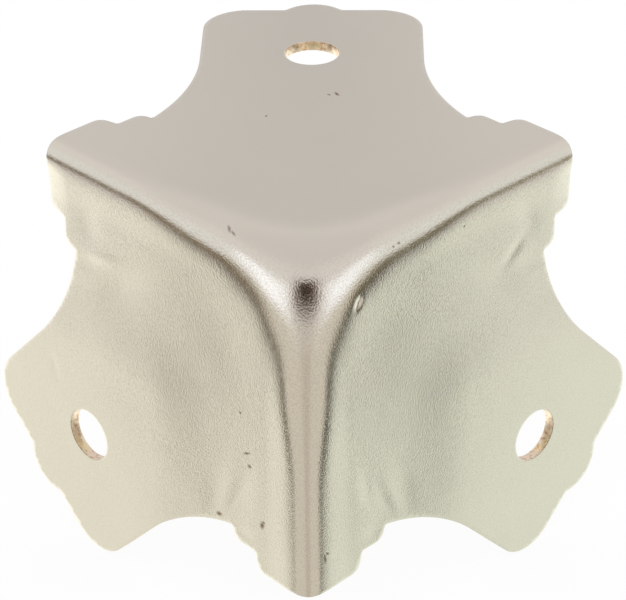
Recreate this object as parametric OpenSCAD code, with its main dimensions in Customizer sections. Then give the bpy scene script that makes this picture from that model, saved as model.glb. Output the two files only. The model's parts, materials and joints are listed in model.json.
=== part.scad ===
// Flight case corner: one drawn and pressed sheet-metal cap that covers the corner of a case.
// Three like faces meet at rounded folds. Each face carries a riveting ear on its diagonal,
// and the folds flare into a ball where they meet. The origin is the corner point of the case
// that the cap fits over: the three inner faces meet there. The cap reaches to -X, +Y and -Z.

/* [Sheet] */
// Thickness of the sheet
sheet = 0.9; // [0.6:0.1:1.5]

/* [Folds] */
// Length of each fold, from the sharp corner of the outer faces to the tip
fold_l = 32.25; // [28:0.25:40]
// Outer radius of a fold along its straight stretch
fold_r = 2; // [1.6:0.1:3]
// Distance from the sharp corner at which a fold starts to flare
flare_l = 18; // [12:0.5:24]
// Outer radius of the ball that the folds flare into
apex_r = 5; // [3.5:0.1:7]

/* [Fold tips] */
// Width of the end tab beside a fold, measured to the corner of its slanted flank
tab_w = 5.5; // [4:0.1:8]
// How far the second step stands back from the end tab
step_back = 1.9; // [1:0.1:3]
// Width of the second step, measured between the two flank corners
step_w = 3.5; // [2.5:0.1:5]
// Slope of both flanks against the fold
flank_deg = 36; // [25:1:50]
// Radius of the rounded corners of both steps
step_r = 1.2; // [0.5:0.1:1.5]

/* [Ear] */
// Width of the riveting ear
ear_w = 20.5; // [16:0.5:26]
// Distance from the sharp corner to the straight end of the ear, along the diagonal
ear_l = 49.85; // [46:0.25:58]
// Radius of the two outer corners of the ear
ear_r = 4; // [2:0.25:6]
// Radius of the concave arcs between the ear and the fold tips
neck_r = 21.5; // [18:0.5:26]
// Distance from the sharp corner to where those arcs run into the sides of the ear
neck_l = 39.1; // [37:0.1:41]
// How far the nose stands out from the middle of the ear's end
nose_h = 1.3; // [0.8:0.1:2]
// Radius of the nose
nose_r = 3.3; // [2:0.1:5]

/* [Rivet hole] */
// Diameter of the rivet hole
hole_d = 5; // [3:0.1:7]
// Distance of the hole from both folds of its face, measured to the sharp outer edges
hole_in = 28.6; // [25:0.1:31]

/* [Hidden] */
$fn = 96;
// Number of like faces and folds about the diagonal of the corner
count = 3;
// How far trimming shapes reach past what they trim
over = 1;
// Growth of the fold's outer radius for each millimetre towards the ball
flare = (apex_r - fold_r) / (flare_l - apex_r);
// Lean of the flare's axis away from the fold
flare_lean = atan(sqrt(2) * flare);
// Length of that axis between the centres of the balls at its two ends
flare_axis_l = (flare_l - apex_r) / cos(flare_lean);
// Angle about that axis between the planes where the two flat faces take over
flare_turn = acos(-flare * flare / (1 + flare * flare));
// Sine and cosine of the half angle of the flare's cone
cone_sin = (apex_r - fold_r) / flare_axis_l;
cone_cos = sqrt(1 - cone_sin * cone_sin);
// How far the cone of the flare bites into the balls at its ends
bite = 0.002;
// Spare angle by which the flare and the ball are made too wide before they are trimmed
spare_deg = 15;
// Where the ball ends before it is trimmed, past the corner's diagonal
ball_deg = acos((1 - 2 * flare) / sqrt(3 + 6 * flare * flare)) - spare_deg;
// Size of the shapes that trim the flare and the ball
reach = 2 * apex_r;
nickel = "#cfc9ba";

// Face outline: the sharp outer corner is at the origin and the folds run along both axes

// Rounded corner between the end of a step at x and its flank, with the corner point at y
module step_corner(x, y) {
    translate([x - step_r, y - step_r * tan(45 - flank_deg / 2)])
        circle(step_r);
}

// Straight edges of a step, with its corner cut along the chord that the rounding replaces
function step_edges(x, y) = let(cut = step_r * tan(45 - flank_deg / 2)) [
    [x, y - cut],
    [x - cut * cos(flank_deg), y + cut * sin(flank_deg)],
];

// End tab and second step beside one fold
module fold_tip() {
    step_x = fold_l - step_back;
    step_y = tab_w + step_w;
    foot_y = step_y + (step_x - neck_x(step_y)) * tan(flank_deg);
    notch_y = tab_w + step_back * tan(flank_deg);
    polygon(concat(
        [[0, 0], [fold_l, 0]],
        step_edges(fold_l, tab_w),
        [[step_x, notch_y]],
        step_edges(step_x, step_y),
        [[neck_x(step_y), foot_y], [0, foot_y]]
    ));
    step_corner(fold_l, tab_w);
    step_corner(step_x, step_y);
}

// Centre of the concave arc beside the first fold
neck_c = [
    (neck_l + ear_w / 2 + neck_r) / sqrt(2),
    (neck_l - ear_w / 2 - neck_r) / sqrt(2)
];
// Where that arc runs at distance y from the fold
function neck_x(y) = neck_c[0] - sqrt(neck_r * neck_r - pow(y - neck_c[1], 2));

// Web between the two folds and the root of the ear, hollowed by the concave arcs
module web() {
    root = [(neck_l + ear_w / 2) / sqrt(2), (neck_l - ear_w / 2) / sqrt(2)];
    difference() {
        polygon([
            [0, 0],
            [root[0], 0],
            root,
            [root[1], root[0]],
            [0, root[0]]
        ]);
        translate(neck_c) circle(neck_r, $fn = 240);
        translate([neck_c[1], neck_c[0]]) circle(neck_r, $fn = 240);
    }
}

// Riveting ear on the diagonal, with rounded corners and a nose at the middle of its end
module ear() {
    rotate(45) {
        translate([0, -ear_w / 2]) square([ear_l - ear_r, ear_w]);
        translate([0, ear_r - ear_w / 2]) square([ear_l, ear_w - 2 * ear_r]);
        for (side = [-1, 1])
            translate([ear_l - ear_r, side * (ear_w / 2 - ear_r)]) circle(ear_r);
        translate([ear_l + nose_h - nose_r, 0]) circle(nose_r);
    }
}

// Flat stretch of a face, inside the lines where its two folds begin
module flat_zone() {
    far = ear_l + nose_h;
    polygon([
        [apex_r, apex_r],
        [flare_l, fold_r],
        [far, fold_r],
        [far, far],
        [fold_r, far],
        [fold_r, flare_l]
    ]);
}

module face_outline() {
    intersection() {
        union() {
            web();
            ear();
            fold_tip();
            mirror([1, -1]) fold_tip();
        }
        flat_zone();
    }
}

// Flat plate of one face, with its rivet hole
module face_plate() {
    difference() {
        linear_extrude(sheet) face_outline();
        translate([hole_in, hole_in, -over])
            cylinder(d = hole_d, h = sheet + 2 * over);
    }
}

// Quarter pipe of the straight stretch of the fold along the first axis
module straight_fold() {
    translate([flare_l, fold_r, fold_r])
        rotate([0, 90, 0])
            rotate(-90)
                rotate_extrude(angle = 90)
                    translate([fold_r - sheet, 0]) square([sheet, fold_l - flare_l]);
}

// Turns the upright axis onto the axis of that fold's flare, from the straight stretch to the ball
module along_flare() {
    rotate([-45, 0, 0]) rotate([0, flare_lean - 90, 0]) children();
}

// Section through the flare's axis, inset from its outer surface: the end of the straight stretch,
// the cone that runs along both balls, and the ball at the corner
module flare_section(inset) {
    small = fold_r - inset - bite;
    big = apex_r - inset - bite;
    circle(fold_r - inset);
    translate([0, flare_axis_l]) circle(apex_r - inset);
    polygon([
        [0, 0],
        [small * cone_cos, -small * cone_sin],
        [big * cone_cos, flare_axis_l - big * cone_sin],
        [0, flare_axis_l]
    ]);
}

// Stretch of that section which the part keeps
module flare_span() {
    small_deg = 90 + flare_lean + spare_deg;
    polygon([
        [0, 0],
        [reach * sin(small_deg), reach * cos(small_deg)],
        [reach * sin(ball_deg), flare_axis_l + reach * cos(ball_deg)],
        [0, flare_axis_l]
    ]);
}

// Column over the strip that belongs to the first fold, up to the faces and the other two folds
module fold_column() {
    translate([0, 0, -over])
        linear_extrude(reach)
            polygon([
                [-over, -over],
                [apex_r, apex_r],
                [flare_l, fold_r],
                [flare_l, -over]
            ]);
}

// Flare of the first fold, with the third of the ball that it runs into
module flare_and_ball() {
    intersection() {
        translate([flare_l, fold_r, fold_r])
            along_flare()
                rotate(180 - flare_turn / 2 - spare_deg)
                    rotate_extrude(angle = flare_turn + 2 * spare_deg)
                        intersection() {
                            difference() {
                                flare_section(0);
                                flare_section(sheet);
                            }
                            flare_span();
                        }
        fold_column();
        mirror([0, 1, -1]) fold_column();
    }
}

// Repeats a shape for the three like faces, about the diagonal of the corner
module each_face() {
    for (i = [0:count - 1])
        rotate(a = 360 / count * i, v = [1, 1, 1]) children();
}

module corner_plate() {
    color(nickel)
        translate([sheet, -sheet, sheet])
            rotate([0, 180, 0]) {
                each_face() {
                    face_plate();
                    straight_fold();
                    flare_and_ball();
                }
            }
}

corner_plate();
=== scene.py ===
import json
from math import atan2, ceil, cos, pi, radians, sin, sqrt, tan

import bpy
import numpy as np
from mathutils import Matrix, Vector
from mathutils.geometry import delaunay_2d_cdt


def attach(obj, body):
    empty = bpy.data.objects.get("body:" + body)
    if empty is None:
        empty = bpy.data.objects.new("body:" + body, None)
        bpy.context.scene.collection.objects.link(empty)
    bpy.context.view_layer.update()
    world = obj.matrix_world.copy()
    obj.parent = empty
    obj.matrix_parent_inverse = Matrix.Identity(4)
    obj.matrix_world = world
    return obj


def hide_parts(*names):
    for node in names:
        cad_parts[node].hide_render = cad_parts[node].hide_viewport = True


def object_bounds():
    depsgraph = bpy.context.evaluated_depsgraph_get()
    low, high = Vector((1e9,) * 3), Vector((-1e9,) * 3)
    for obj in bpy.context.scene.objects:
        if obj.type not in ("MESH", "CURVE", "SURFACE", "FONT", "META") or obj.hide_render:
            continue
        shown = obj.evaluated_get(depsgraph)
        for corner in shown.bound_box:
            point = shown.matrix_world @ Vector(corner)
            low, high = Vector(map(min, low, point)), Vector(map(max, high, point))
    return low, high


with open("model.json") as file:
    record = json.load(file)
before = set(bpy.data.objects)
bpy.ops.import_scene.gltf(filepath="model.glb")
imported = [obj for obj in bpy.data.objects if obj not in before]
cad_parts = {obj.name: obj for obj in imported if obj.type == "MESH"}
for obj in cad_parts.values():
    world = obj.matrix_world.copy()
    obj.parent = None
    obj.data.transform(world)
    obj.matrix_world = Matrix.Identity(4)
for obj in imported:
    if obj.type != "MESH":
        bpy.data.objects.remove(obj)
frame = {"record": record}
CAD_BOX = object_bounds()

bl_info = {
    "name": "Flight case corner",
    "version": (1, 0, 0),
    "blender": (4, 5, 0),
    "location": "View3D > Sidebar > Case corner",
    "description": "Pressed and nickel-plated sheet cap for the corner of a flight case",
    "category": "Object",
}

MM = 0.001
FACES = 3
# The corner's diagonal points into the case, and the three like faces repeat about it
DIAGONAL = Vector((-1.0, 1.0, -1.0)).normalized()
RIVET = next(m for m in frame["record"]["mounts"] if m["name"] == "rivet_top")
SHEET = RIVET["dims"]["length_mm"]
HOLE_D = 2 * RIVET["dims"]["r_mm"]
HOLE_IN = SHEET - RIVET["pos_m"][0] / MM
# Points of neighbouring faces that are closer than this, in millimetres, are made one
WELD = 0.01
# Which of many like waves the sheet has
WAVE_SEED = 3.0
# Edges that turn by more than this, in degrees, are rounded
EDGE_ANGLE = 60.0
# Size of the photograph in pixels, and where the sharp outer corner stands in it
PICTURE = (626.0, 600.0)
CORNER_AT = (303.95, 274.16)


def length(name, description, mm):
    """A length that a user may change, shown in scene units."""
    return bpy.props.FloatProperty(
        name=name, description=description, default=mm * MM, min=0.0, unit="LENGTH", precision=5
    )


def angle(name, description, degrees):
    """An angle that a user may change, shown in degrees."""
    return bpy.props.FloatProperty(
        name=name, description=description, default=radians(degrees), subtype="ANGLE"
    )


def linear(code):
    """Linear colour of an sRGB hex value."""
    parts = [int(code[i:i + 2], 16) / 255 for i in (1, 3, 5)]
    return [c / 12.92 if c <= 0.04045 else ((c + 0.055) / 1.055) ** 2.4 for c in parts]


def colour(name, description, code):
    """A colour that a user may change, given as an sRGB hex value."""
    return bpy.props.FloatVectorProperty(
        name=name, description=description, default=linear(code), subtype="COLOR", min=0.0, max=1.0
    )


class CornerSizes(bpy.types.PropertyGroup):
    """Sizes of the pressed sheet, measured to the sharp edges in which its outer faces would meet."""

    sheet: length("Sheet", "Thickness of the sheet", SHEET)
    fold_l: length("Fold length", "From the sharp corner to the tip of a fold", 32.25)
    fold_r: length("Fold radius", "Outer radius of a fold along its straight stretch", 1.7)
    flare_l: length("Flare start", "Distance from the sharp corner at which a fold flares", 18.0)
    apex_r: length("Ball radius", "Outer radius of the ball that the folds flare into", 5.6)
    tab_w: length("End tab", "Width of the end tab beside a fold", 6.25)
    step_back: length("Step back", "How far the second step stands back", 1.9)
    step_w: length("Step width", "Width of the second step", 3.0)
    flank: angle("Flank", "Slope of both flanks against the fold", 12.0)
    step_r: length("Step radius", "Rounded corners of both steps", 1.0)
    ear_w: length("Ear width", "Width of the riveting ear", 20.5)
    ear_l: length("Ear length", "From the sharp corner to the straight end of the ear", 49.84)
    ear_r: length("Ear radius", "Outer corners of the ear", 4.0)
    neck_r: length("Neck radius", "Concave arcs between the ear and the fold tips", 21.5)
    neck_l: length("Neck end", "Where those arcs run into the sides of the ear", 39.1)
    nose_h: length("Nose height", "How far the nose stands out of the ear's end", 1.3)
    nose_r: length("Nose radius", "Radius of the nose", 3.3)
    hole_d: length("Hole", "Diameter of the rivet hole", HOLE_D)
    hole_in: length("Hole place", "Distance of the hole from both folds", HOLE_IN)
    notch_r: length("Notch softness", "Rounding of the sharp notches in the outline", 0.12)
    edge_r: length("Edge", "Rounding of the punched edges", 0.09)
    wave_h: length("Wave height", "Unevenness of the pressed sheet", 0.04)
    wave_l: length("Wave length", "Width of that unevenness", 9.0)
    sink: length("Sink", "How far the faces are drawn down towards the ball", 0.50)
    dish: length("Dish", "How far the side faces are dished along their folds", 0.18)
    curl: length("Curl", "How far the fold tips of the side faces curl in", 0.20)


class CornerFinish(bpy.types.PropertyGroup):
    """Colours of the plated sheet and of its punched edges."""

    nickel: colour("Nickel", "Satin nickel plate", "#DCD7C6")
    edge: colour("Edge", "Punched edge with a copper flash", "#F2E0C4")
    torn: colour("Torn edge", "Copper and steel that the punch laid bare", "#A8703C")
    # Also the darker tone of the grain's mottle, which is painted sparkle on the side-facing surfaces
    speck: colour("Speck", "Pits and scratches in the plate", "#7E6650")


class StageSettings(bpy.types.PropertyGroup):
    """Camera, floor and studio cards."""

    azimuth: angle("Azimuth", "Camera's turn from the -Y axis towards +X", 46.189)
    elevation: angle("Elevation", "Camera's height above the horizon", 30.677)
    roll: angle("Roll", "Camera's turn about its own axis", -0.60)
    distance: length("Distance", "From the camera to the sharp outer corner", 214.1)
    lens: length("Lens", "Focal length on the sensor below", 156.04)
    sensor: length("Sensor", "Width of the sensor", 36.0)
    room: length("Room", "Distance of the studio cards from the corner", 500.0)
    floor: length("Floor", "Half the width of the floor", 800.0)
    paper: colour("Paper", "Light that the floor throws back", "#505050")


# The studio as the metal shows it, painted in this order. A card has a tone, a strength, the turns
# that it spans, counted from the camera to its right, the rises that it spans, and the width of its
# soft edge, all in degrees.
STUDIO = (
    # Walls all round, greyer behind the corner and overhead, and brighter on both sides
    ("#FCF8FF", 0.94, (-180.0, 180.0), (-90.0, 90.0), 1.0),
    ("#FCF8FF", 0.82, (145.0, 215.0), (-20.0, 50.0), 36.0),
    ("#FCF8FF", 0.82, (-181.0, 181.0), (54.0, 110.0), 30.0),
    ("#FCF8FF", 0.66, (178.0, 182.0), (0.0, 40.0), 11.0),
    ("#F8F8FF", 1.02, (-112.0, -62.0), (-8.0, 26.0), 18.0),
    ("#F8FAFF", 1.00, (58.0, 108.0), (-8.0, 26.0), 18.0),
    # Soft boxes on both sides of the camera, and between them the camera, black with a brown rim
    ("#EDF0FF", 1.66, (-67.0, -33.0), (-2.0, 26.0), 9.0),
    ("#EDF0FF", 1.55, (31.0, 63.0), (-2.0, 26.0), 9.0),
    ("#E08C60", 0.16, (-22.0, 20.0), (9.0, 38.0), 8.0),
    ("#D8A474", 0.05, (-16.5, 12.5), (11.5, 36.5), 8.0),
    # White paper to the left and the right, brightest towards the back, and the grey table in front
    ("#FFFEF9", 1.05, (-181.0, 0.0), (-100.0, -27.0), 10.0),
    ("#FAFFFA", 1.03, (0.0, 181.0), (-100.0, -27.0), 10.0),
    ("#FFFEFA", 0.97, (-95.0, -60.0), (-100.0, -27.0), 9.0),
    ("#FAFFFC", 0.93, (60.0, 91.0), (-100.0, -27.0), 9.0),
    ("#FFFEFC", 1.42, (-165.0, -108.0), (-70.0, -18.0), 8.0),
    ("#FCFFFE", 1.24, (106.0, 165.0), (-70.0, -18.0), 8.0),
    ("#FFF8F4", 0.82, (-76.0, 70.0), (-100.0, -2.0), 5.0),
    ("#FFF4F0", 0.70, (-17.0, 15.0), (-100.0, -2.0), 24.0),
    # Dark gaps behind the paper's edge, wider near the camera
    ("#D8B888", 0.12, (-125.0, -95.0), (-18.0, -13.0), 5.0),
    ("#D8C890", 0.52, (89.0, 120.0), (-18.0, -13.0), 5.0),
    ("#D8B888", 0.29, (-97.0, -70.0), (-20.0, -9.0), 9.0),
    ("#D0C090", 0.29, (66.0, 91.0), (-21.0, -9.0), 9.0),
    ("#D8B888", 0.32, (-85.0, -81.0), (-62.0, -17.0), 3.0),
    ("#D0C090", 0.27, (73.0, 79.0), (-62.0, -17.0), 4.0),
    ("#D8B888", 0.12, (-89.0, -77.0), (-34.5, -20.0), 6.0),
    ("#D0C090", 0.05, (70.0, 83.5), (-37.0, -20.0), 7.0),
)

# Marks that the press and the later handling left: face, place on it in millimetres from its two
# folds, half length and half width, turn of the length in degrees, and depth, less than 0 for a ridge
LEFT, RIGHT, TOP = 1, 0, 2
PRESS_MARKS = (
    # Pinched sheet beside the fold tips of both side faces
    (LEFT, 27.2, 6.6, 1.9, 1.3, 60.0, 0.07),
    (LEFT, 25.4, 9.0, 1.8, 0.5, 12.0, -0.05),
    (LEFT, 23.6, 11.0, 3.2, 1.3, 35.0, 0.08),
    (LEFT, 27.2, 10.3, 1.6, 0.7, 20.0, 0.035),
    (RIGHT, 27.0, 5.8, 2.2, 1.0, 62.0, 0.08),
    (RIGHT, 25.2, 8.1, 1.6, 0.55, -40.0, 0.07),
    (RIGHT, 24.0, 10.2, 3.0, 1.2, 35.0, 0.07),
    (RIGHT, 27.4, 10.2, 1.6, 0.6, 25.0, 0.05),
    (LEFT, 11.6, 26.8, 3.6, 1.3, 75.0, 0.06),
    (LEFT, 8.2, 25.0, 3.0, 1.1, 70.0, 0.05),
    (LEFT, 8.4, 29.4, 1.3, 0.5, 30.0, 0.05),
    (RIGHT, 8.6, 26.0, 3.2, 1.0, 70.0, 0.05),
    (RIGHT, 11.8, 26.6, 3.0, 1.2, 75.0, 0.05),
    (RIGHT, 8.2, 29.2, 1.3, 0.5, 35.0, 0.06),
    (RIGHT, 9.6, 26.6, 2.2, 0.45, 62.0, 0.05),
    (RIGHT, 7.2, 24.2, 1.8, 0.5, 75.0, 0.04),
    (LEFT, 9.4, 26.4, 2.4, 0.5, 62.0, 0.04),
    # Rubbed spot on the left ear
    (LEFT, 33.1, 23.1, 1.2, 0.4, 111.0, 0.02),
    # Hollow below the flare of the right face, and the pock mark beside it
    (RIGHT, 8.0, 9.0, 5.0, 3.0, -50.0, 0.04),
    (RIGHT, 6.6, 5.7, 0.56, 0.29, -62.0, 0.12),
)

# Dark specks and scratches on the plate, given in the same way and without a depth
SPECKS = (
    (TOP, 21.0, 24.3, 0.34, 0.13, 20.0),
    (TOP, 21.4, 23.7, 0.17, 0.09, 0.0),
    (TOP, 22.3, 16.9, 0.15, 0.09, 60.0),
    (TOP, 10.7, 1.8, 0.34, 0.12, 30.0),
    (TOP, 10.1, 1.7, 0.32, 0.09, 10.0),
    (LEFT, 7.5, 20.7, 0.44, 0.11, 25.0),
    (LEFT, 7.2, 21.9, 0.22, 0.17, 0.0),
    (LEFT, 8.3, 17.0, 0.14, 0.10, 0.0),
    (LEFT, 11.3, 28.8, 0.36, 0.19, 20.0),
    (LEFT, 5.7, 27.2, 0.38, 0.24, 70.0),
    (LEFT, 5.5, 26.8, 0.16, 0.12, 0.0),
    (RIGHT, 11.4, 2.0, 0.16, 0.11, 0.0),
    (RIGHT, 10.8, 2.1, 0.12, 0.09, 0.0),
    (RIGHT, 18.7, 3.1, 0.12, 0.09, 0.0),
    (RIGHT, 2.1, 28.8, 0.45, 0.12, 80.0),
    (RIGHT, 2.4, 28.4, 0.18, 0.10, 40.0),
)


def in_mm(group):
    """The lengths of a property group in millimetres, by name."""
    return {
        name: getattr(group, name) / MM
        for name, prop in group.bl_rna.properties.items()
        if prop.type == "FLOAT" and getattr(prop, "unit", "") == "LENGTH"
    }


def add(tree, kind, inputs=None, **settings):
    """Adds a node with its settings, and fills its inputs with values or links."""
    node = tree.nodes.new(kind)
    for key, value in settings.items():
        setattr(node, key, value)
    for key, value in (inputs or {}).items():
        if isinstance(value, bpy.types.NodeSocket):
            tree.links.new(value, node.inputs[key])
        else:
            node.inputs[key].default_value = value
    return node


def soft_step(value):
    """Rises smoothly from 0 to 1 between 0 and 1."""
    value = np.clip(value, 0.0, 1.0)
    return value * value * (3 - 2 * value)


# Pressed sheet. A face lies in its own plane, with the sharp outer corner at the origin and the
# folds along both axes. A point (a, b) there is moved along the corner's diagonal onto the outer
# surface, so that the lines a = 0 and b = 0 become the middles of the two folds. Lengths are in
# millimetres until a mesh is made.

# Power of the bends' section: 2 would be a plain arc, and more eases it into the flat faces
EASE = 4.0
# Distances from the corner at which a flare begins and is full, in lengths of the flare
FLARE_BEGIN = 7 / 6
FLARE_FULL = 1 / 2
# Share of the way from the fold's radius to the ball's that a full flare has gone
FLARE_SHARE = 0.38
# Widths of the ball and of the sink round it, in radii of the ball
BALL_WIDTH = 1.15
SINK_WIDTH = 2.2
# Halvings that bring a point onto the outer surface
HALVINGS = 50


def from_corner(a, b):
    """Distance of a point from the corner, seen along the diagonal."""
    return np.sqrt(np.maximum(a * a + b * b - a * b, 0.0))


def bend_reach(a, b, size):
    """How far the bends reach into the faces: least along the straight folds, more along their flares
    and most in the ball."""
    away = from_corner(a, b)
    begin, full = FLARE_BEGIN * size["flare_l"], FLARE_FULL * size["flare_l"]
    flared = soft_step((begin - away) / (begin - full))
    ball = np.exp(-(away / (BALL_WIDTH * size["apex_r"])) ** 3)
    grown = FLARE_SHARE * flared + (1 - FLARE_SHARE) * ball
    arc_r = size["fold_r"] + (size["apex_r"] - size["fold_r"]) * grown
    # An eased bend is as deep as an arc of this radius
    return arc_r * (1 - 1 / sqrt(2)) / (1 - 0.5 ** (1 / EASE))


def lift(flat, size):
    """Moves points of the face plane along the diagonal onto the rounded outer surface."""
    reach = bend_reach(*flat.T, size)
    low = np.zeros(len(flat))
    high = reach.copy()
    base = np.column_stack([flat, np.zeros(len(flat))])
    for _ in range(HALVINGS):
        depth = (low + high) / 2
        short = np.maximum(1 - (base + depth[:, None]) / reach[:, None], 0.0)
        outside = (short ** EASE).sum(axis=1) > 1
        low = np.where(outside, depth, low)
        high = np.where(outside, high, depth)
    sunk = size["sink"] * np.exp(-(from_corner(*flat.T) / (SINK_WIDTH * size["apex_r"])) ** 2)
    return base + (high + sunk)[:, None]


def drop(outline, size):
    """Takes points of the outer surface, given in the face plane, back along the diagonal."""
    reach = bend_reach(*outline.T, size)
    short = np.maximum(1 - outline / reach[:, None], 0.0)
    depth = reach * (1 - np.maximum(1 - (short ** EASE).sum(axis=1), 0.0) ** (1 / EASE))
    return outline - depth[:, None]


# Spacing of the outline's points before they are spread for the mesh
OUTLINE_STEP = 0.05
# Longest that the second flank can be, and the number of places on it that are tried as its foot
FLANK_L = 6.0
FLANK_TRIES = 601


def arc(centre, radius, start, end):
    """Points of an arc from one angle to another, both in radians."""
    count = max(2, ceil(abs(end - start) * radius / OUTLINE_STEP))
    turn = np.linspace(start, end, count + 1)
    return np.column_stack([centre[0] + radius * np.cos(turn), centre[1] + radius * np.sin(turn)])


def spread(points, step):
    """The same open line with its points spread evenly, about one step apart."""
    run = np.concatenate([[0.0], np.cumsum(np.hypot(*np.diff(points, axis=0).T))])
    even = np.linspace(0.0, run[-1], max(2, round(run[-1] / step)) + 1)
    return np.column_stack([np.interp(even, run, points[:, i]) for i in (0, 1)])


def soften(points, sigma, step):
    """Rounds the sharp corners of an evenly spread line and leaves its ends alone."""
    reach = ceil(3 * sigma / step)
    weight = np.exp(-0.5 * (np.arange(-reach, reach + 1) * step / sigma) ** 2)
    weight /= weight.sum()
    out = points.copy()
    for i in (0, 1):
        out[reach:-reach, i] = np.convolve(points[:, i], weight, "valid")
    return out


def step_corner(x, y, size):
    """Rounded corner between the end of a step at x and its slanted flank."""
    flank, radius = size["flank"], size["step_r"]
    centre = (x - radius, y - radius * tan(pi / 4 - flank / 2))
    return arc(centre, radius, 0.0, pi / 2 - flank)


def half_outline(size):
    """Outline of a face from the foot of its first fold to the tip of the nose."""
    root = sqrt(2)
    flank = size["flank"]
    half = size["ear_w"] / 2
    step_x = size["fold_l"] - size["step_back"]
    step_y = size["tab_w"] + size["step_w"]
    neck = (
        (size["neck_l"] + half + size["neck_r"]) / root,
        (size["neck_l"] - half - size["neck_r"]) / root,
    )
    # The second flank runs down to the concave arc
    slide = np.linspace(0.0, FLANK_L, FLANK_TRIES)
    down = np.column_stack([step_x - slide * cos(flank), step_y + slide * sin(flank)])
    miss = np.abs(np.hypot(*(down - neck).T) - size["neck_r"])
    foot = down[np.argmin(miss)]
    neck_start = atan2(foot[1] - neck[1], foot[0] - neck[0])
    nose_half = sqrt(size["nose_r"] ** 2 - (size["nose_r"] - size["nose_h"]) ** 2)
    nose_turn = atan2(nose_half, size["nose_r"] - size["nose_h"])
    # The ear lies along the diagonal: first coordinate along it, second across it
    ear = np.vstack([
        arc((size["ear_l"] - size["ear_r"], half - size["ear_r"]), size["ear_r"], pi / 2, 0.0),
        arc((size["ear_l"] + size["nose_h"] - size["nose_r"], 0.0), size["nose_r"], nose_turn, 0.0),
    ])
    return np.vstack([
        [[size["fold_l"], size["fold_r"] * (1 - 1 / root)]],
        step_corner(size["fold_l"], size["tab_w"], size),
        [[step_x, size["tab_w"] + size["step_back"] * tan(flank)]],
        step_corner(step_x, step_y, size),
        arc(neck, size["neck_r"], neck_start, 3 * pi / 4),
        np.column_stack([ear[:, 0] + ear[:, 1], ear[:, 0] - ear[:, 1]]) / root,
    ])


def face_loops(size, step):
    """Boundary of a face along its fold middles and its outline, and a ring of radius 1 for its hole."""
    half = half_outline(size)
    whole = spread(np.vstack([half, half[-2::-1, ::-1]]), OUTLINE_STEP)
    rim = spread(soften(whole, size["notch_r"], OUTLINE_STEP), step)
    rim = drop(rim, size)
    rim[[0, -1], [1, 0]] = 0.0
    middle = np.linspace(0.0, rim[0, 0], ceil(rim[0, 0] / step) + 1)[:-1]
    along = np.column_stack([middle, np.zeros_like(middle)])
    outer = np.vstack([along, rim, along[:0:-1, ::-1]])
    around = np.linspace(0.0, 2 * pi, ceil(pi * size["hole_d"] / step) + 1)[:-1]
    ring = np.column_stack([np.cos(around), np.sin(around)])
    return outer, ring


def inside(points, loop):
    """Which points lie inside a closed loop."""
    x, y = points[:, 0], points[:, 1]
    hit = np.zeros(len(points), bool)
    for (x0, y0), (x1, y1) in zip(loop, np.roll(loop, -1, axis=0)):
        if y0 != y1:
            cross = x0 + (y - y0) * (x1 - x0) / (y1 - y0)
            hit ^= ((y0 > y) != (y1 > y)) & (x < cross)
    return hit


# Points that are compared with all others at a time
CHUNK = 64


def clear_of(points, others, gap):
    """The points that keep a gap to all the others."""
    near = np.full(len(points), np.inf)
    for chunk in np.array_split(others, max(1, len(others) // CHUNK)):
        gaps = np.hypot(points[:, None, 0] - chunk[:, 0], points[:, None, 1] - chunk[:, 1])
        near = np.minimum(near, gaps.min(axis=1))
    return points[near > gap]


def triangle_grid(reach, pitch):
    """Points of a triangular grid over a square."""
    rows = np.arange(0.0, reach, pitch * sqrt(3) / 2)
    columns = np.arange(0.0, reach, pitch)
    return np.vstack([
        np.column_stack([columns + pitch / 2 * (i % 2), np.full(len(columns), y)])
        for i, y in enumerate(rows)
    ])


# Spacing of the mesh: along the outline, over the flat faces, in the bends and on the pock mark
RIM_STEP = 0.28
FLAT_PITCH = 0.4
BEND_PITCH = 0.26
POCK_PITCH = 0.12
# Width of the bends' mesh in radii of a fold, and its reach round the corner in radii of the ball
BEND_WIDTH = 2.0
CORNER_REACH = 2.5
# Place of the pock mark in the face plane, and the radii of its own mesh and of the room left for it
POCK_AT = (6.1, 5.25)
POCK_R = 1.4
POCK_ROOM_R = 1.5
# Gap between the grids and the outline, width of the even ring round the hole, and the gap round that
RIM_GAP = 0.19
LINING_W = 0.2
LINING_GAP = 0.3
# How far the grids reach past the fold tips and the ear's corners
GRID_SPARE = 12.0
# Points closer than this are the same to the triangles
SAME_POINT = 1e-6


def away_from(points, centre):
    """Distances of points from a centre."""
    return np.hypot(*(points - centre).T)


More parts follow.
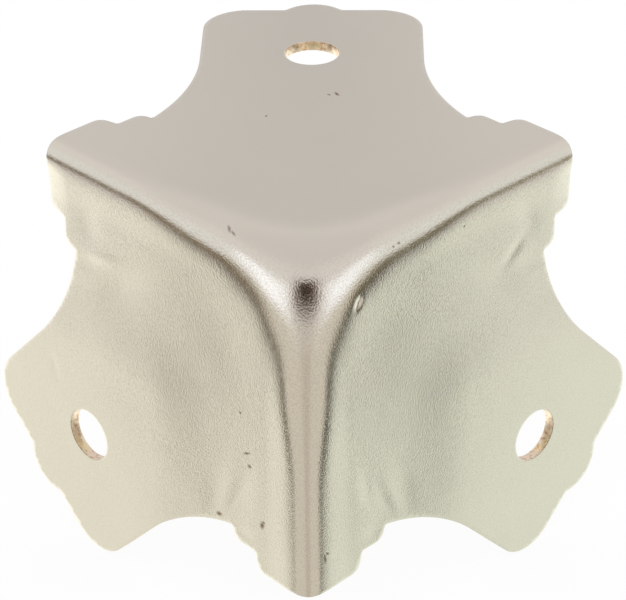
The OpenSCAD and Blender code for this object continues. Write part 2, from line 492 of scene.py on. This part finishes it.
def face_mesh(size):
    """Triangles of one face's outer surface, with half of each fold and a third of the ball."""
    outer, ring = face_loops(size, RIM_STEP)
    hole_r = size["hole_d"] / 2
    hole = size["hole_in"] + hole_r * ring
    lining = size["hole_in"] + (hole_r + LINING_W) * ring

    def in_bends(points):
        beside = points.min(axis=1) < BEND_WIDTH * size["fold_r"]
        return beside | (points.sum(axis=1) < CORNER_REACH * size["apex_r"])

    reach = size["fold_l"] + size["ear_r"] + GRID_SPARE
    bends = triangle_grid(reach, BEND_PITCH)
    bends = bends[in_bends(bends) & (away_from(bends, POCK_AT) > POCK_ROOM_R)]
    level = triangle_grid(reach, FLAT_PITCH)
    level = level[~in_bends(level)]
    # The pock mark beside the flare needs the finest mesh
    pock = triangle_grid(2 * size["apex_r"], POCK_PITCH)
    pock = pock[away_from(pock, POCK_AT) < POCK_R]
    grid = np.vstack([bends, level, pock])
    grid = grid[inside(grid, outer)]
    grid = clear_of(grid, np.vstack([outer, lining, hole]), RIM_GAP)
    grid = grid[away_from(grid, size["hole_in"]) > hole_r + LINING_GAP]
    flat = np.vstack([outer, hole, lining, grid])
    start, count = len(outer), len(hole)
    edges = [(i, (i + 1) % start) for i in range(start)]
    edges += [(start + i, start + (i + 1) % count) for i in range(count)]
    points, _, faces, *_ = delaunay_2d_cdt(
        [Vector(p) for p in flat.tolist()], edges, [], 0, SAME_POINT
    )
    flat = np.array([tuple(p) for p in points])
    faces = np.array([tuple(f) for f in faces])
    centre = flat[faces].mean(axis=1)
    keep = inside(centre, outer) & (away_from(centre, size["hole_in"]) > hole_r)
    return flat, faces[keep]


def face_object(size, materials):
    """One face as a mesh in the part's own frame, with its outer side out."""
    flat, faces = face_mesh(size)
    solid = lift(flat, size)
    sheet = size["sheet"]
    placed = np.column_stack([sheet - solid[:, 0], solid[:, 1] - sheet, sheet - solid[:, 2]]) * MM
    mesh = bpy.data.meshes.new("pressed_face")
    mesh.from_pydata(placed.tolist(), [], faces[:, ::-1].tolist())
    for material in materials:
        mesh.materials.append(material)
    obj = bpy.data.objects.new("pressed_face", mesh)
    bpy.context.collection.objects.link(obj)
    return obj


def three_faces_tree():
    """Node tree that repeats a face about the diagonal, welds it and gives the sheet its waves."""
    tree = bpy.data.node_groups.new("three_faces", "GeometryNodeTree")
    for name, kind in (
        ("Face", "Geometry"),
        ("Count", "Int"),
        ("Diagonal", "Vector"),
        ("Weld", "Float"),
        ("Wave height", "Float"),
        ("Wave length", "Float"),
        ("Seed", "Float"),
        ("Finish", "Material"),
    ):
        tree.interface.new_socket(name, in_out="INPUT", socket_type="NodeSocket" + kind)
    tree.interface.new_socket("Corner", in_out="OUTPUT", socket_type="NodeSocketGeometry")
    given = add(tree, "NodeGroupInput").outputs
    points = add(tree, "GeometryNodePoints", {"Count": given["Count"]})
    index = add(tree, "GeometryNodeInputIndex")
    part = add(tree, "ShaderNodeMath", {0: 2 * pi, 1: given["Count"]}, operation="DIVIDE")
    turn = add(
        tree, "ShaderNodeMath", {0: index.outputs[0], 1: part.outputs[0]}, operation="MULTIPLY"
    )
    turned = add(
        tree, "FunctionNodeAxisAngleToRotation", {"Axis": given["Diagonal"], "Angle": turn.outputs[0]}
    )
    placed = add(
        tree,
        "GeometryNodeInstanceOnPoints",
        {"Points": points.outputs[0], "Instance": given["Face"], "Rotation": turned.outputs[0]},
    )
    real = add(tree, "GeometryNodeRealizeInstances", {"Geometry": placed.outputs[0]})
    welded = add(
        tree,
        "GeometryNodeMergeByDistance",
        {"Geometry": real.outputs[0], "Distance": given["Weld"]},
    )
    place = add(tree, "GeometryNodeInputPosition")
    scale = add(tree, "ShaderNodeMath", {0: 1.0, 1: given["Wave length"]}, operation="DIVIDE")
    noise = add(
        tree,
        "ShaderNodeTexNoise",
        {"Vector": place.outputs[0], "W": given["Seed"], "Scale": scale.outputs[0], "Detail": 1.0},
        noise_dimensions="4D",
    )
    deep = add(
        tree, "ShaderNodeMath", {0: noise.outputs[0], 1: given["Wave height"]}, operation="MULTIPLY"
    )
    inward = add(tree, "ShaderNodeMath", {0: deep.outputs[0], 1: -1.0}, operation="MULTIPLY")
    normal = add(tree, "GeometryNodeInputNormal")
    shift = add(
        tree,
        "ShaderNodeVectorMath",
        {0: normal.outputs[0], "Scale": inward.outputs[0]},
        operation="SCALE",
    )
    waved = add(
        tree, "GeometryNodeSetPosition", {"Geometry": welded.outputs[0], "Offset": shift.outputs[0]}
    )
    smooth = add(tree, "GeometryNodeSetShadeSmooth", {"Geometry": waved.outputs[0]})
    painted = add(
        tree,
        "GeometryNodeSetMaterial",
        {"Geometry": smooth.outputs[0], "Material": given["Finish"]},
    )
    add(tree, "NodeGroupOutput", {0: painted.outputs[0]})
    return tree


def set_inputs(modifier, **values):
    """Sets a node modifier's inputs, found by their names with _ for a space."""
    for item in modifier.node_group.interface.items_tree:
        if item.in_out == "INPUT" and item.name.replace(" ", "_") in values:
            modifier[item.identifier] = values[item.name.replace(" ", "_")]


def finished(obj, name):
    """The object with its modifiers made into a plain mesh, under a new name."""
    shaped = obj.evaluated_get(bpy.context.evaluated_depsgraph_get())
    mesh = bpy.data.meshes.new_from_object(shaped)
    mesh.name = name
    piece = bpy.data.objects.new(name, mesh)
    bpy.context.collection.objects.link(piece)
    blank = obj.data
    bpy.data.objects.remove(obj)
    bpy.data.meshes.remove(blank)
    return piece


# Dish along a fold, by the distance from it: where it begins, the runs of its steep and its gentle
# slope, where it ends and the run of the rise to there
DISH_BEGIN = 2.3
DISH_STEEP = 3.0
DISH_GENTLE = 9.0
DISH_END = 20.0
DISH_RISE = 8.0
# Distance from the other fold at which the dish begins, and the run over which it grows
DISH_CLEAR = 5.0
DISH_RUN = 9.0
# Curl of a fold tip: its length and power, where it ends beside the fold and over which width
CURL_L = 2.6
CURL_POWER = 1.5
CURL_END = 9.0
CURL_FADE = 4.0
# The folds are left alone up to this distance, and from twice as far on the sheet is fully worked
FOLD_CLEAR = 1.6


def dished(near, far):
    """Shallow dish of the sheet along a fold, by the distances from that fold and from the other."""
    inward = near - DISH_BEGIN
    sunk = (soft_step(inward / DISH_STEEP) + soft_step(inward / DISH_GENTLE)) / 2
    return sunk * soft_step((DISH_END - near) / DISH_RISE) * soft_step((far - DISH_CLEAR) / DISH_RUN)


def work_sheet(mesh, size):
    """Presses the dishes and the marks into the sheet, from its outer side inwards."""
    placed = np.empty(3 * len(mesh.vertices))
    mesh.vertices.foreach_get("co", placed)
    sheet = size["sheet"]
    solid = (placed.reshape(-1, 3) / MM * (-1, 1, -1)) + sheet
    face = solid.argmin(axis=1)
    for side in (RIGHT, LEFT, TOP):
        own = face == side
        a, b = np.delete(solid[own], side, axis=1).T
        deep = np.zeros(len(a))
        if side != TOP:
            deep += size["dish"] * (1 - (1 - dished(b, a)) * (1 - dished(a, b)))
            curl = np.maximum(a - size["fold_l"] + CURL_L, 0.0) / CURL_L
            deep += size["curl"] * curl ** CURL_POWER * soft_step((CURL_END - b) / CURL_FADE)
        for where, x, y, long, wide, turn, depth in PRESS_MARKS:
            if where == side:
                cosine, sine = cos(radians(turn)), sin(radians(turn))
                along = (a - x) * cosine + (b - y) * sine
                across = (b - y) * cosine - (a - x) * sine
                deep += depth * np.exp(-((along / long) ** 2) - (across / wide) ** 2)
        deep *= soft_step((np.minimum(a, b) - FOLD_CLEAR) / FOLD_CLEAR)
        solid[own, side] += deep
    mesh.vertices.foreach_set("co", ((solid - sheet) * (-1, 1, -1) * MM).ravel())
    mesh.update()


# Frayed edges of the specks: width of the fraying, and how far it shifts an edge
FRAY_W = 0.12
FRAY_SHIFT = 0.16
# Depth of a speck below its face, so that it also shows where the face is drawn down
SPECK_DEPTH = 1.5
# A speck is fully dark up to the first of these shares of its half sizes, and ends at the second
SPECK_DARK = 0.3
SPECK_END = 1.5
# Grain of the drawn steel, about 0.05 mm wide on the real one. It is drawn about three times as
# coarse so that it shows, once as mottled colour, which on the side-facing surfaces is painted sparkle,
# and once as a relief of this height.
GRAIN_W = 0.13
PEEL_W = 0.15
PEEL_H = 0.018
# Distances from the corner of the case up to which the sheet is fully stretched, and from which it is
# hardly stretched
STRETCH_FULL = 25.0
STRETCH_END = 40.0
# Width of the clouds in the plate's sheen, and of the torn spots in the punched edges
CLOUD_W = 6.0
TEAR_W = 0.35
# Glow with which the floor shows white to the camera
PAPER_GLOW = 0.92


def speck_mask(tree, place):
    """1 on the specks and scratches, with frayed edges, and 0 on the clean plate."""
    fray = add(
        tree, "ShaderNodeTexNoise", {"Vector": place, "Scale": 1 / (FRAY_W * MM), "Detail": 1.0}
    )
    shaken = add(
        tree,
        "ShaderNodeVectorMath",
        {0: fray.outputs["Color"], 1: (FRAY_SHIFT * MM,) * 3, 2: place},
        operation="MULTIPLY_ADD",
    )
    mask = None
    for side, x, y, long, wide, turn in SPECKS:
        centre = np.insert((x, y), side, 0.0)
        size = np.full(3, wide)
        size[0 if side != RIGHT else 1] = long
        size[side] = SPECK_DEPTH
        spin = [0.0, 0.0, 0.0]
        spin[side] = -radians(turn)
        spot = add(
            tree,
            "ShaderNodeMapping",
            {
                "Vector": shaken.outputs[0],
                "Location": ((SHEET - centre) * (1, -1, 1) + FRAY_SHIFT / 2) * MM,
                "Rotation": spin,
                "Scale": size * MM,
            },
            vector_type="TEXTURE",
        )
        far = add(tree, "ShaderNodeVectorMath", {0: spot.outputs[0]}, operation="LENGTH")
        dark = add(
            tree,
            "ShaderNodeMapRange",
            {"Value": far.outputs["Value"], "From Min": SPECK_END, "From Max": SPECK_DARK},
        )
        if mask is None:
            mask = dark.outputs[0]
        else:
            both = add(tree, "ShaderNodeMath", {0: mask, 1: dark.outputs[0]}, operation="MAXIMUM")
            mask = both.outputs[0]
    return mask


def satin_nickel(finish):
    """Satin nickel plated over drawn steel: a warm pale metal with soft reflections. The drawn
    steel under it leaves a fine orange peel that breaks up what the sides reflect, and a few dark
    specks show where the plate is pitted or scratched. On the side-facing surfaces the grain is also
    painted into the colour as a darker mottle, a painted sparkle of the reflections."""
    material = bpy.data.materials.new("satin_nickel_on_drawn_steel")
    material.use_nodes = True
    tree = material.node_tree
    shader = tree.nodes["Principled BSDF"]
    shader.inputs["Metallic"].default_value = 1.0
    texture = add(tree, "ShaderNodeTexCoord").outputs
    place = texture["Object"]
    mask = speck_mask(tree, place)
    tone = add(
        tree,
        "ShaderNodeMix",
        {"Factor": mask, "A": (*finish.nickel, 1.0), "B": (*finish.speck, 1.0)},
        data_type="RGBA",
    )
    # Painted sparkle: the grain's mottle is painted into the colour of the side-facing surfaces only,
    #     where the reflections sparkle, and not on the flat top
    facing = add(tree, "ShaderNodeSeparateXYZ", {0: texture["Normal"]})
    drawn = add(
        tree,
        "ShaderNodeMapRange",
        {"Value": facing.outputs["Z"], "From Min": 0.9, "From Max": 0.4, "To Max": 0.16},
    )
    grain = add(
        tree, "ShaderNodeTexNoise", {"Vector": place, "Scale": 1 / (GRAIN_W * MM), "Detail": 1.0}
    )
    pits = add(
        tree, "ShaderNodeMapRange", {"Value": grain.outputs[0], "From Min": 0.42, "From Max": 0.68}
    )
    # The ears were hardly drawn, so all grain gets fainter towards them
    away = add(tree, "ShaderNodeVectorMath", {0: place}, operation="LENGTH")
    stretched = add(
        tree,
        "ShaderNodeMapRange",
        {
            "Value": away.outputs["Value"],
            "From Min": STRETCH_END * MM,
            "From Max": STRETCH_FULL * MM,
            "To Min": 0.5,
        },
    )
    sparkle_grain_share = add(
        tree,
        "ShaderNodeMath",
        {0: drawn.outputs[0], 1: stretched.outputs[0]},
        operation="MULTIPLY",
    )
    grain_mottle_and_sparkle = add(
        tree,
        "ShaderNodeMath",
        {0: pits.outputs[0], 1: sparkle_grain_share.outputs[0]},
        operation="MULTIPLY",
    )
    # Base colour with the grain's mottle, which on the side-facing surfaces is painted sparkle
    grain_and_painted_sparkle = add(
        tree,
        "ShaderNodeMix",
        {"Factor": grain_mottle_and_sparkle.outputs[0], "A": tone.outputs["Result"], "B": (*finish.speck, 1.0)},
        data_type="RGBA",
    )
    tree.links.new(grain_and_painted_sparkle.outputs["Result"], shader.inputs["Base Color"])
    # The same grain as a relief: the orange peel of the plate
    peel = add(
        tree,
        "ShaderNodeTexNoise",
        {"Vector": place, "Scale": 1 / (PEEL_W * MM), "Detail": 2.0, "Roughness": 0.5},
    )
    bump = add(
        tree,
        "ShaderNodeBump",
        {"Height": peel.outputs[0], "Distance": PEEL_H * MM, "Strength": stretched.outputs[0]},
    )
    tree.links.new(bump.outputs[0], shader.inputs["Normal"])
    # Clouds of duller and brighter sheen
    cloud = add(
        tree, "ShaderNodeTexNoise", {"Vector": place, "Scale": 1 / (CLOUD_W * MM), "Detail": 3.0}
    )
    rough = add(
        tree,
        "ShaderNodeMapRange",
        {"Value": cloud.outputs[0], "From Min": 0.3, "From Max": 0.7, "To Min": 0.13, "To Max": 0.19},
    )
    tree.links.new(rough.outputs[0], shader.inputs["Roughness"])
    return material


def punched_edge(finish):
    """Punched steel edge with a copper flash under thin nickel: warmer and rougher than the faces,
    with brown spots where the punch tore it."""
    material = bpy.data.materials.new("copper_flashed_punched_edge")
    material.use_nodes = True
    tree = material.node_tree
    shader = tree.nodes["Principled BSDF"]
    shader.inputs["Metallic"].default_value = 1.0
    shader.inputs["Roughness"].default_value = 0.3
    place = add(tree, "ShaderNodeTexCoord").outputs["Object"]
    tears = add(
        tree, "ShaderNodeTexNoise", {"Vector": place, "Scale": 1 / (TEAR_W * MM), "Detail": 2.0}
    )
    bare = add(
        tree,
        "ShaderNodeMapRange",
        {"Value": tears.outputs[0], "From Min": 0.5, "From Max": 0.7, "To Max": 0.6},
    )
    tone = add(
        tree,
        "ShaderNodeMix",
        {"Factor": bare.outputs[0], "A": (*finish.edge, 1.0), "B": (*finish.torn, 1.0)},
        data_type="RGBA",
    )
    tree.links.new(tone.outputs["Result"], shader.inputs["Base Color"])
    return material


def white_floor(stage):
    """Matt paper that glows just enough to show white to the camera, and keeps a faint shadow."""
    material = bpy.data.materials.new("matt_white_paper")
    material.use_nodes = True
    tree = material.node_tree
    shader = tree.nodes["Principled BSDF"]
    shader.inputs["Base Color"].default_value = (*stage.paper, 1.0)
    shader.inputs["Roughness"].default_value = 1.0
    shader.inputs["Specular IOR Level"].default_value = 0.0
    seen = add(tree, "ShaderNodeLightPath").outputs
    show = add(
        tree,
        "ShaderNodeMath",
        {0: seen["Is Camera Ray"], 1: seen["Is Glossy Ray"]},
        operation="MAXIMUM",
    )
    glow = add(tree, "ShaderNodeMath", {0: show.outputs[0], 1: PAPER_GLOW}, operation="MULTIPLY")
    shader.inputs["Emission Color"].default_value = (1.0, 1.0, 1.0, 1.0)
    tree.links.new(glow.outputs[0], shader.inputs["Emission Strength"])
    return material


def studio_light():
    """Lit and dark cards of the studio, painted on its dome."""
    material = bpy.data.materials.new("studio_light")
    material.use_nodes = True
    tree = material.node_tree
    tree.nodes.clear()
    glow = add(tree, "ShaderNodeAttribute", attribute_name="glow")
    light = add(tree, "ShaderNodeEmission", {"Color": glow.outputs["Color"], "Strength": 1.0})
    add(tree, "ShaderNodeOutputMaterial", {"Surface": light.outputs[0]})
    return material


class OBJECT_OT_pressed_corner(bpy.types.Operator):
    """Make the pressed and plated sheet that is the whole corner"""

    bl_idname = "object.pressed_corner"
    bl_label = "Pressed corner"

    def execute(self, context):
        group = context.scene.corner_sizes
        size = {**in_mm(group), "flank": group.flank}
        finish = context.scene.corner_finish
        materials = [satin_nickel(finish), punched_edge(finish)]
        face = face_object(size, materials)
        repeat = face.modifiers.new("three_faces", "NODES")
        repeat.node_group = three_faces_tree()
        set_inputs(
            repeat,
            Count=FACES,
            Diagonal=DIAGONAL,
            Weld=WELD * MM,
            Wave_height=group.wave_h,
            Wave_length=group.wave_l,
            Seed=WAVE_SEED,
            Finish=materials[0],
        )
        face = finished(face, "worked_sheet")
        work_sheet(face.data, size)
        wall = face.modifiers.new("sheet", "SOLIDIFY")
        wall.thickness = group.sheet
        wall.offset = -1.0
        wall.use_even_offset = True
        # The punched edge takes the second material
        wall.material_offset_rim = 1
        edge = face.modifiers.new("edge", "BEVEL")
        edge.width = group.edge_r
        edge.segments = 2
        edge.limit_method = "ANGLE"
        edge.angle_limit = radians(EDGE_ANGLE)
        piece = finished(face, "pressed_corner")
        if not piece.data.polygons:
            raise RuntimeError("The corner has no faces")
        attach(piece, "root")
        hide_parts("corner_plate")
        return {"FINISHED"}


def view_axes(stage):
    """The camera's right, up and back directions."""
    turn, rise, roll = stage.azimuth, stage.elevation, stage.roll
    back = Vector((sin(turn) * cos(rise), -cos(turn) * cos(rise), sin(rise)))
    right = Vector((cos(turn), sin(turn), 0.0))
    up = back.cross(right)
    return right * cos(roll) + up * sin(roll), up * cos(roll) - right * sin(roll), back


# Points of the studio's dome all round and from its lowest to its highest point
DOME_ROUND = 241
DOME_UP = 121


def studio_dome(stage):
    """Dome round the corner that carries the studio's cards. It shows in reflections and nowhere else."""
    around = np.linspace(-180.0, 180.0, DOME_ROUND)
    upward = np.linspace(-90.0, 90.0, DOME_UP)
    turn, rise = np.meshgrid(around, upward)
    paint = np.zeros((*turn.shape, 3))
    for tone, strength, turns, rises, soft in STUDIO:
        middle, half = (turns[0] + turns[1]) / 2, (turns[1] - turns[0]) / 2
        aside = np.abs((turn - middle + 180.0) % 360.0 - 180.0)
        share = soft_step((half - aside) / soft + 0.5)
        share *= soft_step((rise - rises[0]) / soft + 0.5) * soft_step((rises[1] - rise) / soft + 0.5)
        paint += (np.array(linear(tone)) * strength - paint) * share[..., None]
    ring, height = np.radians(turn) + stage.azimuth, np.radians(rise)
    place = np.stack(
        [np.sin(ring) * np.cos(height), -np.cos(ring) * np.cos(height), np.sin(height)], axis=-1
    )
    rows, columns = turn.shape
    quads = [
        (i * columns + j, i * columns + j + 1, (i + 1) * columns + j + 1, (i + 1) * columns + j)
        for i in range(rows - 1)
        for j in range(columns - 1)
    ]
    mesh = bpy.data.meshes.new("studio_dome")
    mesh.from_pydata((place.reshape(-1, 3) * stage.room).tolist(), [], quads)
    glow = mesh.attributes.new("glow", "FLOAT_COLOR", "POINT")
    opaque = np.pad(paint.reshape(-1, 3), ((0, 0), (0, 1)), constant_values=1.0)
    glow.data.foreach_set("color", opaque.ravel())
    mesh.materials.append(studio_light())
    obj = bpy.data.objects.new("studio_dome", mesh)
    bpy.context.collection.objects.link(obj)
    obj.visible_camera = False
    obj.visible_diffuse = False
    obj.visible_transmission = False
    obj.visible_shadow = False


class SCENE_OT_corner_stage(bpy.types.Operator):
    """Set the floor, the studio light and the camera"""

    bl_idname = "scene.corner_stage"
    bl_label = "Stage"

    def execute(self, context):
        scene = context.scene
        stage = scene.corner_stage
        scene.view_settings.view_transform = "Standard"
        floor_z = CAD_BOX[0][2]

        world = bpy.data.worlds.new("white_studio")
        world.use_nodes = True
        world.node_tree.nodes["Background"].inputs["Color"].default_value = (1.0, 1.0, 1.0, 1.0)
        world.node_tree.nodes["Background"].inputs["Strength"].default_value = 1.0
        scene.world = world

        half = stage.floor
        corners = [(-half, -half), (half, -half), (half, half), (-half, half)]
        mesh = bpy.data.meshes.new("floor")
        mesh.from_pydata([(x, y, floor_z) for x, y in corners], [], [(0, 1, 2, 3)])
        mesh.materials.append(white_floor(stage))
        floor = bpy.data.objects.new("floor", mesh)
        bpy.context.collection.objects.link(floor)
        # In the metal the dome's paper and table take the floor's place
        floor.visible_glossy = False
        studio_dome(stage)

        right, up, back = view_axes(stage)
        corner = Vector((SHEET, -SHEET, SHEET)) * MM
        # Size of a pixel at the corner, and how far the corner stands from the middle of the picture
        pixel = stage.distance * stage.sensor / stage.lens / PICTURE[0]
        aside = (CORNER_AT[0] - PICTURE[0] / 2) * pixel
        below = (CORNER_AT[1] - PICTURE[1] / 2) * pixel
        camera_data = bpy.data.cameras.new("camera")
        camera_data.sensor_fit = "HORIZONTAL"
        camera_data.sensor_width = stage.sensor / MM
        camera_data.lens = stage.lens / MM
        camera_data.clip_start = 10 * MM
        camera = bpy.data.objects.new("camera", camera_data)
        bpy.context.collection.objects.link(camera)
        eye = corner + back * stage.distance - right * aside + up * below
        axes = Matrix((right, up, back)).transposed().to_4x4()
        camera.matrix_world = Matrix.Translation(eye) @ axes
        scene.camera = camera
        return {"FINISHED"}


class VIEW3D_PT_case_corner(bpy.types.Panel):
    """Lists the sizes, the colours and what can be made from them"""

    bl_label = "Case corner"
    bl_space_type = "VIEW_3D"
    bl_region_type = "UI"
    bl_category = "Case corner"

    def draw(self, context):
        scene = context.scene
        for group in (scene.corner_sizes, scene.corner_finish, scene.corner_stage):
            box = self.layout.box()
            for name in type(group).__annotations__:
                box.prop(group, name)
        self.layout.operator(OBJECT_OT_pressed_corner.bl_idname)
        self.layout.operator(SCENE_OT_corner_stage.bl_idname)


CLASSES = (
    CornerSizes,
    CornerFinish,
    StageSettings,
    OBJECT_OT_pressed_corner,
    SCENE_OT_corner_stage,
    VIEW3D_PT_case_corner,
)


def register():
    for cls in CLASSES:
        bpy.utils.register_class(cls)
    bpy.types.Scene.corner_sizes = bpy.props.PointerProperty(type=CornerSizes)
    bpy.types.Scene.corner_finish = bpy.props.PointerProperty(type=CornerFinish)
    bpy.types.Scene.corner_stage = bpy.props.PointerProperty(type=StageSettings)


def unregister():
    del bpy.types.Scene.corner_stage
    del bpy.types.Scene.corner_finish
    del bpy.types.Scene.corner_sizes
    for cls in reversed(CLASSES):
        bpy.utils.unregister_class(cls)


def main():
    """Makes the corner and its stage."""
    register()
    bpy.ops.object.pressed_corner()
    bpy.ops.scene.corner_stage()


if __name__ == "__main__":
    main()
